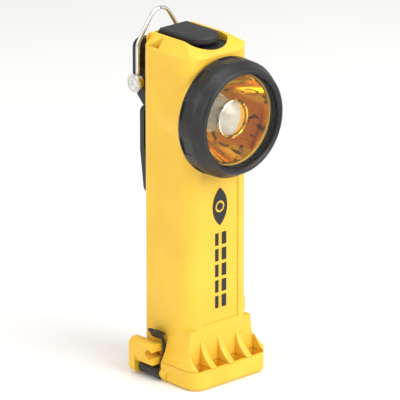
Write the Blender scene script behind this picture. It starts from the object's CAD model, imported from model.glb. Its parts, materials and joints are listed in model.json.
# %% [markdown]
# # A firefighter's right-angle flashlight
#
# A moulded yellow body stands on a flared foot. A black head ring looks out of its front, a
# clip and a wire ring are hinged behind it, and a lever latch holds the battery door shut.
# The working solids come from CAD, in metres and in one frame. Blender gives them their
# surfaces, and adds the parts whose charm is in their detail.

# %% Load the CAD model
import json
import math
import bpy
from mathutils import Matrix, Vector


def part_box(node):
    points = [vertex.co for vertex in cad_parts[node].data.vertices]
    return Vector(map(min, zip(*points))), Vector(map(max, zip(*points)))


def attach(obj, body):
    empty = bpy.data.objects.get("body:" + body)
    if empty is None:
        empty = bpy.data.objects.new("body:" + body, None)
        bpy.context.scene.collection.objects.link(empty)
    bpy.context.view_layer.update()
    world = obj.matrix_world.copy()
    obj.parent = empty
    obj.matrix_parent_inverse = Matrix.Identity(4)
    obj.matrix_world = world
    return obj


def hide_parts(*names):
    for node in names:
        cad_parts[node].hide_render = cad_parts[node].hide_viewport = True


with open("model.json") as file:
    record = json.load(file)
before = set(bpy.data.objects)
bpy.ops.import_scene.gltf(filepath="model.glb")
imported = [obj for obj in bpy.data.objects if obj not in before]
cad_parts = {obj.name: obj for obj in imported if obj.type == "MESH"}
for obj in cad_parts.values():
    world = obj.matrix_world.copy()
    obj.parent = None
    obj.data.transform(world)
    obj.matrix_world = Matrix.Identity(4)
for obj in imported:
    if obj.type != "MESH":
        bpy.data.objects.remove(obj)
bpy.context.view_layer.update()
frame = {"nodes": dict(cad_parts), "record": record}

nodes = frame["nodes"]

# %% [markdown]
# ## The camera
#
# Product pictures are taken from far away with a long lens, so that upright edges stay nearly
# parallel. A camera can be turned by hand, but it is easier to say where it stands: a distance,
# an angle round the object and an angle above the ground. It then looks at one aim point.

# %% Camera
def toward(azimuth, elevation):
    """Unit vector from the object to a viewer, azimuth 0 being straight in front of the lens."""
    a, e = math.radians(azimuth), math.radians(elevation)
    return Vector((math.sin(a) * math.cos(e), -math.cos(a) * math.cos(e), math.sin(e)))


AZIMUTH, ELEVATION, DISTANCE = -42.4, 19.2, 2.5
AIM_HEIGHT, AIM_RIGHT, AIM_DOWN = 0.095, 0.00254, 0.00192
SENSOR_WIDTH, FOCAL_LENGTH = 36, 434
back = toward(AZIMUTH, ELEVATION)
right = toward(AZIMUTH + 90, 0)
up = back.cross(right)
aim = Vector((0, 0, AIM_HEIGHT)) + right * AIM_RIGHT - up * AIM_DOWN

bpy.ops.object.camera_add(location=aim + back * DISTANCE)
camera = bpy.context.object
camera.rotation_mode = "QUATERNION"
camera.rotation_quaternion = back.to_track_quat("Z", "Y")
camera.data.sensor_width = SENSOR_WIDTH
camera.data.lens = FOCAL_LENGTH
camera.data.clip_start, camera.data.clip_end = 0.1, 50
bpy.context.scene.camera = camera
print("camera at", [round(v, 3) for v in camera.location])

# %% [markdown]
# ## Light and floor
#
# A light tent: a bright surround with three large soft sources, to the left, in front and
# above. Large sources make broad, gentle highlights on satin plastic, and they keep shadows
# faint. The floor is pale, and big enough to fill the picture from the main camera.

# %% Light and floor
LAMP_MIDDLE = Vector((0, 0, 0.1))
FLOOR_RADIUS = 9

world = bpy.data.worlds.new("light tent")
bpy.context.scene.world = world
world.use_nodes = True
surround = world.node_tree.nodes["Background"]
surround.inputs["Color"].default_value = (1.0, 0.99, 0.97, 1)
surround.inputs["Strength"].default_value = 0.70


def soft_light(name, azimuth, elevation, distance, size, watts):
    """One square softbox that looks at the middle of the object."""
    place = LAMP_MIDDLE + toward(azimuth, elevation) * distance
    bpy.ops.object.light_add(type="AREA", location=place)
    light = bpy.context.object
    light.name = name
    light.rotation_mode = "QUATERNION"
    light.rotation_quaternion = toward(azimuth, elevation).to_track_quat("Z", "Y")
    light.data.size = size
    light.data.energy = watts
    print(name, "at", [round(v, 2) for v in place])


soft_light("left softbox", azimuth=-100, elevation=30, distance=1.1, size=0.8, watts=3.5)
soft_light("front softbox", azimuth=15, elevation=34, distance=1.2, size=0.9, watts=12)
soft_light("top softbox", azimuth=-30, elevation=82, distance=1.3, size=0.9, watts=5)

bpy.ops.mesh.primitive_circle_add(vertices=96, radius=FLOOR_RADIUS, fill_type="NGON",
                                  location=(0, 0, 0))
floor = bpy.context.object
floor.name = "floor"
print("floor", 2 * FLOOR_RADIUS, "m across")

# %% [markdown]
# ## Colours shown as they are
#
# A film-like view transform greys strong colours. The Standard one shows a finish with the colour
# it was mixed in, which suits a plain product picture.

# %% Colours shown as they are
bpy.context.scene.view_settings.view_transform = "Standard"
print("view transform", bpy.context.scene.view_settings.view_transform)

# %% [markdown]
# ## Shader sums as Python
#
# A material is a small net of nodes. Sums on masks are easier to read as sums, so one class
# wraps a socket and turns +, -, * and ** into Math nodes. A second class holds one material and
# makes any other node in one call: its type, its settings, then its inputs.

# %% Signal
class Signal:
    """One output socket, which can be added, subtracted, multiplied and raised to a power."""

    def __init__(self, finish, socket):
        self.finish, self.socket = finish, socket

    def __add__(self, other):
        return self.finish.sum_of("ADD", self, other)

    def __sub__(self, other):
        return self.finish.sum_of("SUBTRACT", self, other)

    def __rsub__(self, other):
        return self.finish.sum_of("SUBTRACT", other, self)

    def __mul__(self, other):
        return self.finish.sum_of("MULTIPLY", self, other)

    def __pow__(self, other):
        return self.finish.sum_of("POWER", self, other)

    __radd__ = __add__
    __rmul__ = __mul__

    def between(self, low, high):
        """0 below low, 1 above high, and a smooth rise in the middle."""
        return self.finish.node("ShaderNodeMapRange", {"interpolation_type": "SMOOTHSTEP"},
                                {"Value": self, "From Min": low, "From Max": high})


# %% Finish
class Finish:
    """A material under one Principled shader."""

    def __init__(self, name, **plain):
        self.material = bpy.data.materials.new(name)
        self.material.use_nodes = True
        self.tree = self.material.node_tree
        self.shader = self.tree.nodes["Principled BSDF"]
        for label, value in plain.items():
            self.shader.inputs[label.replace("_", " ")].default_value = value
        self.place = self.node("ShaderNodeTexCoord", {}, {}, "Object")

    def node(self, kind, settings, inputs, output=0):
        """A new node of any kind: its settings come first, then its inputs."""
        made = self.tree.nodes.new(kind)
        for label, value in settings.items():
            setattr(made, label, value)
        for label, value in inputs.items():
            self.feed(made.inputs[label], value)
        return Signal(self, made.outputs[output])

    def feed(self, socket, value):
        if isinstance(value, Signal):
            self.tree.links.new(value.socket, socket)
        elif isinstance(value, tuple) and len(value) == 3 and socket.type == "RGBA":
            socket.default_value = (*value, 1)
        else:
            socket.default_value = value

    def noise(self, size, detail=2.0, stretch=(1, 1, 1)):
        """Noise whose lumps are about size metres, longer along an axis with a small stretch."""
        where = self.node("ShaderNodeMapping", {}, {"Vector": self.place, "Scale": stretch})
        return self.node("ShaderNodeTexNoise", {}, {"Vector": where, "Scale": 1 / size,
                                                    "Detail": detail, "Roughness": 0.55}, "Fac")

    def axis(self, letter):
        return self.node("ShaderNodeSeparateXYZ", {}, {"Vector": self.place}, letter)

    def mix(self, amount, a, b):
        """Colour a at amount 0 and b at 1. Its socket names repeat, so numbers pick them."""
        factor, first, second, result = 0, 6, 7, 2
        return self.node("ShaderNodeMix", {"data_type": "RGBA"},
                         {factor: amount, first: a, second: b}, result)

    def relief(self, height, depth, strength):
        """Bumps depth metres high."""
        return self.node("ShaderNodeBump", {}, {"Height": height, "Distance": depth,
                                                "Strength": strength}, "Normal")

    def sum_of(self, operation, a, b):
        return self.node("ShaderNodeMath", {"operation": operation}, {0: a, 1: b})

    def wear(self, **varying):
        """Feed the shader's own sockets with what varies over the surface."""
        for label, value in varying.items():
            self.feed(self.shader.inputs[label.replace("_", " ")], value)


finishes = {}
print("ready to mix finishes")

# %% [markdown]
# ## Yellow nylon
#
# The shell is glass-filled nylon out of a lightly sparked mould: satin, with a grain about half
# a millimetre across. The colour is very even, so the noise shifts it only a little. Broad
# soft noise moves the roughness, which is what makes real plastic look handled.

# %% Yellow nylon
f = Finish("yellow_nylon", Specular_IOR_Level=0.42)
cloud, grain, flow = f.noise(0.03), f.noise(0.0005, 3), f.noise(0.004, 3)
f.wear(Base_Color=f.mix(cloud.between(0.3, 0.7), (0.80, 0.475, 0.036), (0.84, 0.525, 0.045)),
       Roughness=0.40 + 0.10 * flow + 0.05 * cloud,
       Normal=f.relief(grain + 0.5 * flow, 0.00004, 0.55))
finishes["yellow_nylon"] = f
print("yellow nylon has", len(f.tree.nodes), "nodes")

# %% [markdown]
# ## Black nylon and rubber
#
# The clip, the latch and the head ring are black nylon with a coarser grain that catches light
# as a grey sheen. Rubber is rougher still. Both are lightest where hands and floors rub them,
# so a patchy noise lifts the colour by about a hundredth.

# %% Black nylon, rubber and print
def black(name, dark, pale, rough, grain_size, depth):
    f = Finish(name, Specular_IOR_Level=0.5)
    patch, grain = f.noise(0.006, 4), f.noise(grain_size, 3)
    f.wear(Base_Color=f.mix(patch.between(0.45, 0.75), dark, pale),
           Roughness=rough + 0.12 * patch + 0.06 * grain,
           Normal=f.relief(grain, depth, 0.6))
    finishes[name] = f


black("black_nylon", (0.007, 0.007, 0.008), (0.017, 0.017, 0.018), 0.32, 0.0006, 0.00006)
black("black_rubber", (0.012, 0.012, 0.013), (0.024, 0.024, 0.025), 0.50, 0.0004, 0.00004)
black("print_black", (0.005, 0.005, 0.005), (0.009, 0.009, 0.009), 0.42, 0.0003, 0.00001)
print("mixed so far:", sorted(finishes))

# %% [markdown]
# ## Metals
#
# Stainless wire and turned screws are bright but never perfect mirrors: drawing and turning
# leave fine lines. Noise that is squeezed along one axis draws those lines, and it feeds the
# roughness and a very shallow bump.

# %% Metals
LINE_SIZE, SMUDGE_SIZE = 0.0012, 0.008


def metal(name, colour, tint, rough, stretch):
    f = Finish(name, Metallic=1.0)
    lines, smudge = f.noise(LINE_SIZE, 4, stretch), f.noise(SMUDGE_SIZE, 3)
    f.wear(Base_Color=f.mix(smudge.between(0.35, 0.7), colour, tint),
           Roughness=rough + 0.12 * lines + 0.08 * smudge,
           Normal=f.relief(lines, 0.00001, 0.5))
    finishes[name] = f


metal("stainless", (0.78, 0.77, 0.74), (0.66, 0.65, 0.63), 0.12, (1, 1, 0.12))
metal("spring_steel", (0.62, 0.62, 0.64), (0.50, 0.50, 0.53), 0.22, (1, 1, 0.3))
metal("aluminium", (0.76, 0.77, 0.79), (0.68, 0.69, 0.72), 0.28, (0.1, 1, 1))
metal("contact_brass", (0.80, 0.61, 0.28), (0.68, 0.49, 0.20), 0.18, (1, 1, 0.4))
print("mixed so far:", sorted(finishes))

# %% [markdown]
# ## The lamp's own finishes
#
# The bowl is a thin film of metal. Its colour is not even: one side of it throws back the warm
# moulding opposite and looks amber, the other side is plain silver. That is painted with a mask
# across the bowl. The lens is clear, so Alpha lets nearly everything through, and Layer Weight
# keeps a little more of it where it is seen at a slant.

# %% Bowl, lens and optic
head_z = (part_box("lens")[0].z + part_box("lens")[1].z) / 2

f = Finish("bright_bowl", Metallic=1.0)
x, z = f.axis("X"), f.axis("Z") - head_z
around = f.sum_of("ARCTAN2", z, x)
film, streak = f.noise(0.009, 2), f.noise(0.0035, 4, (1, 0.3, 1))
amber = (x - 0.45 * z + 0.006 * film).between(-0.007, 0.001)
lit = f.mix(amber, (0.92, 0.91, 0.87), (0.93, 0.60, 0.085))
rays = f.sum_of("SINE", around * 7 + 9 * film, 0)
shade = (rays + 1.6 * streak).between(1.62, 1.82)
f.wear(Base_Color=f.mix(shade, lit, (0.22, 0.16, 0.08)),
       Roughness=0.06 + 0.16 * film, Normal=f.relief(streak, 0.00008, 0.5))
finishes["bright_bowl"] = f

f = Finish("clear_lens", IOR=1.49, Base_Color=(0.35, 0.37, 0.38, 1))
slant = f.node("ShaderNodeLayerWeight", {}, {"Blend": 0.3}, "Facing")
haze = f.noise(0.012, 3)
f.wear(Alpha=0.025 + 0.25 * slant ** 3 + 0.015 * haze, Roughness=0.03 + 0.05 * haze)
finishes["clear_lens"] = f

f = Finish("frosted_optic", IOR=1.49, Coat_Weight=0.5, Coat_Roughness=0.08)
frost, glow, x = f.noise(0.0007, 3), f.noise(0.005, 2), f.axis("X")
face = f.mix(glow.between(0.3, 0.7), (0.50, 0.44, 0.33), (0.60, 0.54, 0.43))
amber_side = (x - 0.25 * (f.axis("Z") - head_z)).between(0.0022, 0.0030)
f.wear(Base_Color=f.mix(amber_side, face, (0.72, 0.36, 0.035)),
       Roughness=0.20 + 0.15 * frost, Normal=f.relief(frost, 0.00003, 0.4))
finishes["frosted_optic"] = f
print("bowl, lens and optic are centred at height", round(head_z, 4))

# %% [markdown]
# ## Small inner finishes
#
# The boards, cells and leads inside are moulded, coated or wrapped, and are seen only when the
# door is open. One function gives them all a patchy colour, a fine grain and, where they are
# shiny, a clear coat.

# %% Small inner finishes
def moulded(name, dark, pale, rough, size=0.004, coat=0.0):
    f = Finish(name, Coat_Weight=coat, Coat_Roughness=0.1)
    patch, grain = f.noise(size, 3), f.noise(0.0005, 2)
    f.wear(Base_Color=f.mix(patch.between(0.35, 0.65), dark, pale),
           Roughness=rough + 0.15 * patch, Normal=f.relief(grain, 0.00003, 0.4))
    finishes[name] = f


moulded("beige_plastic", (0.60, 0.47, 0.29), (0.70, 0.58, 0.40), 0.30)
moulded("led_yellow", (0.85, 0.66, 0.14), (0.93, 0.78, 0.24), 0.25, 0.001, 0.3)
moulded("circuit_board", (0.02, 0.15, 0.06), (0.03, 0.22, 0.10), 0.28, 0.002, 0.4)
moulded("wire_red", (0.42, 0.03, 0.02), (0.55, 0.05, 0.04), 0.35)
moulded("cell_wrap", (0.04, 0.10, 0.32), (0.06, 0.14, 0.42), 0.22, 0.006, 0.5)
moulded("floor_card", (0.86, 0.86, 0.86), (0.89, 0.89, 0.885), 0.6, 0.4)
floor.data.materials.append(finishes.pop("floor_card").material)
print(sorted(finishes))

# %% [markdown]
# ## Giving the CAD pieces their finish
#
# The record says which finish each piece has. CAD edges are knife sharp and real mouldings are
# not, so the mouldings, the boot and the pivot screws are welded, then given a small bevel where
# two faces meet at more than 32 degrees. Both stay live modifiers, so the CAD mesh isn't touched.

# %% Finish and soften the CAD pieces
SOFT = {"housing": 0.0005, "battery_door": 0.0005, "clip": 0.0005,
        "head_ring": 0.0004, "switch_boot": 0.0002, "pivot_screws": 0.0002}
WELD_DISTANCE, SHARP_ANGLE = 0.000002, math.radians(32)

for part in frame["record"]["subparts"]:
    solid = nodes[part["node"]]
    solid.data.materials.clear()
    solid.data.materials.append(finishes[part["material_slot"]].material)
    if part["node"] in SOFT:
        weld = solid.modifiers.new("weld", "WELD")
        weld.merge_threshold = WELD_DISTANCE
        edge = solid.modifiers.new("soft edges", "BEVEL")
        edge.width, edge.segments = SOFT[part["node"]], 2
        edge.limit_method, edge.angle_limit = "ANGLE", SHARP_ANGLE
        edge.use_clamp_overlap = True
        edge.harden_normals = True
print("finished", len(nodes), "pieces, softened", sorted(SOFT))

# %% [markdown]
# ## Modelling helpers
#
# The next pieces are modelled as by hand, with bpy.ops. An operator acts on everything that is
# selected, so each piece starts from nothing selected. When a piece is done, its place and turn
# are written into its mesh, its normals are made to point out, and it is tied to its body.

# %% Starting and finishing a piece
def fresh():
    """Nothing selected, so that an operator acts only on what comes next."""
    bpy.ops.object.select_all(action="DESELECT")


def pick(obj, test):
    """In edit mode, select only the faces for which test(centre) is true."""
    bpy.ops.mesh.select_mode(type="FACE")
    bpy.ops.mesh.select_all(action="DESELECT")
    bpy.ops.object.mode_set(mode="OBJECT")
    for face in obj.data.polygons:
        face.select = bool(test(face.center))
    bpy.ops.object.mode_set(mode="EDIT")


def complete(obj, name, body, slot, hides=(), angle=35):
    """Write place, turn and modifiers into the mesh, then tie the piece to its body and finish."""
    if obj.mode == "EDIT":
        bpy.ops.object.mode_set(mode="OBJECT")
    fresh()
    obj.select_set(True)
    bpy.context.view_layer.objects.active = obj
    bpy.ops.object.transform_apply(location=True, rotation=True, scale=True)
    for modifier in list(obj.modifiers):
        bpy.ops.object.modifier_apply(modifier=modifier.name)
    bpy.ops.object.mode_set(mode="EDIT")
    bpy.ops.mesh.select_all(action="SELECT")
    bpy.ops.mesh.normals_make_consistent(inside=False)
    bpy.ops.object.mode_set(mode="OBJECT")
    bpy.ops.object.shade_smooth_by_angle(angle=math.radians(angle))
    obj.name = name
    obj.data.materials.clear()
    obj.data.materials.append(finishes[slot].material)
    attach(obj, body)
    if hides:
        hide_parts(*hides)
    print(name, "has", len(obj.data.polygons), "faces")


# %% [markdown]
# ## The bowl
#
# Behind the lens sits a bowl of thin bright metal. A turned bowl is a circle that is extruded
# and widened step by step. The real one isn't plain: flat facets and notches break up what it
# mirrors. Here each facet is an inset group of faces that is pushed a little way in.

# %% Bowl
lo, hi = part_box("reflector")
edge_gap, optic_gap, frame_width, metal_gauge = 0.0010, 0.0016, 0.0005, 0.0004
mouth, foot, rim = lo.y, hi.y - edge_gap, (hi.x - lo.x) / 2 - edge_gap
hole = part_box("optic")[1].x + optic_gap
steps, bowl_curve = 9, 1.7

fresh()
bpy.ops.mesh.primitive_circle_add(vertices=60, radius=hole, fill_type="NOTHING",
                                  location=(0, foot, head_z), rotation=(math.pi / 2, 0, 0))
bowl = bpy.context.object
bpy.ops.object.transform_apply(location=True, rotation=True)
bpy.ops.object.mode_set(mode="EDIT")
bpy.ops.mesh.select_all(action="SELECT")
centre, depth, width = Vector((0, 0, head_z)), foot - mouth, hole
for i in range(1, steps + 1):
    wider = hole + (rim - hole) * i / steps
    forward = depth * ((i / steps) ** bowl_curve - ((i - 1) / steps) ** bowl_curve)
    bpy.ops.mesh.extrude_region_move(TRANSFORM_OT_translate={"value": (0, -forward, 0)})
    bpy.ops.transform.resize(value=(wider / width, 1, wider / width), center_override=centre)
    width = wider

# Each facet: its middle and half its spread in degrees, its inner and outer radius, its depth
FACETS = [(70, 19, 0.0140, 0.0225, 0.0009), (8, 14, 0.0125, 0.0180, 0.0008),
          (-62, 17, 0.0125, 0.0215, 0.0010), (-128, 13, 0.0140, 0.0225, 0.0008),
          (152, 15, 0.0125, 0.0185, 0.0008)]
for middle, spread, near, far, push in FACETS:
    def on_facet(at):
        turn = math.degrees(math.atan2(at.z - head_z, at.x)) - middle
        turn = (turn + 180) % 360 - 180
        return abs(turn) < spread and near < math.hypot(at.x, at.z - head_z) < far
    pick(bowl, on_facet)
    bpy.ops.mesh.inset(thickness=frame_width, depth=0)
    bpy.ops.transform.shrink_fatten(value=-push)
bpy.ops.mesh.select_all(action="SELECT")
bpy.ops.mesh.normals_make_consistent(inside=False)
bpy.ops.object.mode_set(mode="OBJECT")
wall = bowl.modifiers.new("wall", "SOLIDIFY")
wall.thickness, wall.offset = metal_gauge, 0
complete(bowl, "faceted_bowl", "torch", "bright_bowl", ["reflector"], 25)

# %% [markdown]
# ## The rim round the optic
#
# A bright flange grips the optic a little behind its domed tip. It is a ring of faces: a circle,
# extruded along the lens axis and scaled between the steps. One helper turns any such ring,
# because the profile is the only thing that changes. The ring's eyes and the latch use it too.

# %% Turning a ring
SEAM = 0.000005


def turned_ring(profile, centre, axis="Y", sides=96):
    """A closed ring round an axis through centre; the profile lists (radius, place along it)."""
    along = Vector((1, 0, 0)) if axis == "X" else Vector((0, 1, 0))
    turn = (0, math.pi / 2, 0) if axis == "X" else (math.pi / 2, 0, 0)

    def at(place):
        return centre - along * centre.dot(along) + along * place

    fresh()
    radius, place = profile[0]
    bpy.ops.mesh.primitive_circle_add(vertices=sides, radius=radius, fill_type="NOTHING",
                                      location=at(place), rotation=turn)
    ring = bpy.context.object
    bpy.ops.object.transform_apply(location=True, rotation=True)
    bpy.ops.object.mode_set(mode="EDIT")
    bpy.ops.mesh.select_mode(type="VERT")
    bpy.ops.mesh.select_all(action="SELECT")
    for radius2, place2 in list(profile[1:]) + [profile[0]]:
        bpy.ops.mesh.extrude_region_move(TRANSFORM_OT_translate={"value": along * (place2 - place)})
        grow = radius2 / radius
        bpy.ops.transform.resize(value=(1, grow, grow) if axis == "X" else (grow, 1, grow),
                                 center_override=at(place2))
        radius, place = radius2, place2
    bpy.ops.mesh.select_all(action="SELECT")
    bpy.ops.mesh.remove_doubles(threshold=SEAM)
    bpy.ops.object.mode_set(mode="OBJECT")
    return ring


# %% Optic flange
tip, optic_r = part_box("optic")[0].y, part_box("optic")[1].x
flange_section = [(optic_r + out, tip + behind) for out, behind in (
    (0.0002, 0.0052), (0.0002, 0.0024), (0.0007, 0.0019),
    (0.0012, 0.0022), (0.0014, 0.0030), (0.0008, 0.0052))]
flange = turned_ring(flange_section, Vector((0, 0, head_z)))
complete(flange, "optic_flange", "torch", "bright_bowl")

# %% [markdown]
# ## The wire ring
#
# The ring is one polished wire, bent like a coat hook and closed by a flat eye at each end. A
# curve with a round bevel could make it. Here it is swept as by hand: a small disc is extruded
# from point to point and faces halfway into each bend, so that its section stays round. The
# latch's arm is the same bar made wider along Y.

# %% Sweeping a wire
def swept(path, radius, y, wide=None, sides=24):
    """A round bar through the (x, z) points of path, wide[i] times as wide along Y at point i."""
    heading = [math.atan2(b[1] - a[1], b[0] - a[0]) for a, b in zip(path, path[1:])]
    facing = [heading[0]] + [(a + b) / 2 for a, b in zip(heading, heading[1:])] + [heading[-1]]
    fresh()
    x, z = path[0]
    bpy.ops.mesh.primitive_circle_add(vertices=sides, radius=radius, fill_type="NGON",
                                      location=(x, y, z), rotation=(0, math.pi / 2 - facing[0], 0))
    bar = bpy.context.object
    bpy.ops.object.transform_apply(location=True, rotation=True)
    bpy.ops.object.mode_set(mode="EDIT")
    bpy.ops.mesh.select_mode(type="FACE")
    bpy.ops.mesh.select_all(action="SELECT")
    if wide and wide[0] != 1:
        bpy.ops.transform.resize(value=(1, wide[0], 1), center_override=(x, y, z))
    for i in range(1, len(path)):
        (x1, z1), (x2, z2) = path[i - 1], path[i]
        bpy.ops.mesh.extrude_region_move(TRANSFORM_OT_translate={"value": (x2 - x1, 0, z2 - z1)})
        bpy.ops.transform.rotate(value=facing[i] - facing[i - 1], orient_axis="Y",
                                 center_override=(x2, y, z2))
        if wide and wide[i] != wide[i - 1]:
            bpy.ops.transform.resize(value=(1, wide[i] / wide[i - 1], 1),
                                     center_override=(x2, y, z2))
    bpy.ops.object.mode_set(mode="OBJECT")
    return bar


def arc(x, z, radius, start, end, steps):
    """Points on an arc round (x, z), from start to end degrees."""
    turns = [math.radians(start + (end - start) * i / steps) for i in range(steps + 1)]
    return [(x + radius * math.cos(t), z + radius * math.sin(t)) for t in turns]


# %% [markdown]
# ## The ring's outline and its eyes
#
# Two upright legs lean in and meet in a tight bow at the top. The legs' length follows from the
# height and width that the CAD ring has, so only the two bend radii and the lean are chosen.

# %% Wire ring
pivots = {joint["name"]: Vector(joint["pos_m"]) for joint in frame["record"]["behaviour"]["joints"]
          if joint["type"] == "hinge"}
pivot = pivots["ring_swing"]
top, wire_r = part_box("d_ring")[1], 0.0011
bend, tight, lean, leg_foot = 0.006, 0.008, 34, 0.003
half = top.x - wire_r
apex = top.z - wire_r - tight
slope = math.radians(lean)
straight = (half - bend + (bend - tight) * math.cos(slope)) / math.sin(slope)
knee = apex + tight * math.sin(slope) - straight * math.cos(slope) - bend * math.sin(slope)
one_side = [(half, pivot.z + leg_foot)] + arc(half - bend, knee, bend, 0, lean, 8)
other_side = [(-x, z) for x, z in reversed(one_side)]
route = one_side + arc(0, apex, tight, lean, 180 - lean, 20) + other_side
complete(swept(route, wire_r, pivot.y), "wire_ring", "hanging_ring", "stainless", ["d_ring"])

# %% Ring eyes
hole_r, eye_r, eye_edge = 0.00205, 0.0042, 0.0003
for side, side_name in ((-1, "left"), (1, "right")):
    inner, outer = side * (half - wire_r), side * (half + wire_r)
    soft = side * eye_edge
    eye = turned_ring([(hole_r, inner), (eye_r - eye_edge, inner), (eye_r, inner + soft),
                       (eye_r, outer - soft), (eye_r - eye_edge, outer), (hole_r, outer)],
                      pivot, "X", 48)
    complete(eye, "ring_eye_" + side_name, "hanging_ring", "stainless")

# %% [markdown]
# ## The latch lever
#
# A black lever turns on a pin in the door. From its barrel a slim arm curves up in front of the
# latch block, and ends in a curled finger tip. A short bar behind the tip hooks over a ledge on
# the body. All of them are swept or turned, and are placed from the pin that the lever turns on.

# %% Latch barrel
lo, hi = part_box("latch_lever")
pin = pivots["latch_open"]
bore, barrel_r, groove_r, edge_r = 0.00105, 0.0033, 0.0031, 0.0029
chamfer, groove_start, groove_end, ridge = 0.0004, 0.0050, 0.0012, 0.0009
barrel = turned_ring([
    (bore, lo.y), (edge_r, lo.y), (barrel_r, lo.y + chamfer),
    (barrel_r, lo.y + groove_start), (groove_r, lo.y + groove_start + chamfer),
    (groove_r, hi.y - groove_end), (barrel_r, hi.y - ridge),
    (barrel_r, hi.y - chamfer), (edge_r, hi.y), (bore, hi.y)], pin, "Y", 64)
complete(barrel, "latch_barrel", "latch", "black_nylon", ["latch_lever"])


# %% Latch arm, finger tab and hook
def from_pin(*offsets):
    """Points that lie (x, z) from the pin's centre."""
    return [(pin.x + x, pin.z + z) for x, z in offsets]


arm_y, tab_y, bar_r, hook_r = lo.y + 0.0010, lo.y + 0.0052, 0.0009, 0.0005
arm_path = from_pin((0, 0.0026), (0.0005, 0.0048), (0.0013, 0.0073), (0.0020, 0.0098),
                    (0.0023, 0.0123), (0.0022, 0.0148), (0.0017, 0.0170), (0.0009, 0.0190),
                    (-0.0001, 0.0208), (-0.0011, 0.0221), (-0.0020, 0.0229))
arm_wide = [1.0] * 9 + [0.9, 0.5]
complete(swept(arm_path, bar_r, arm_y, arm_wide, 16), "latch_arm", "latch", "black_nylon", angle=50)

tab_path = from_pin((0.0006, 0.0186), (0.0002, 0.0196), (-0.0005, 0.0208), (-0.0014, 0.0220),
                    (-0.0022, 0.0228))
tab = swept(tab_path, bar_r, tab_y, [4.6, 5.0, 5.4, 5.0, 3.6], 32)
complete(tab, "latch_finger_tab", "latch", "black_nylon", angle=50)

hook_path = from_pin((0, 0.0208), (0.0012, 0.02085), (0.0024, 0.0208), (0.0031, 0.02065))
hook = swept(hook_path, hook_r, tab_y, [9.6, 9.8, 9.8, 9.0], 32)
complete(hook, "latch_hook", "latch", "black_nylon", angle=50)
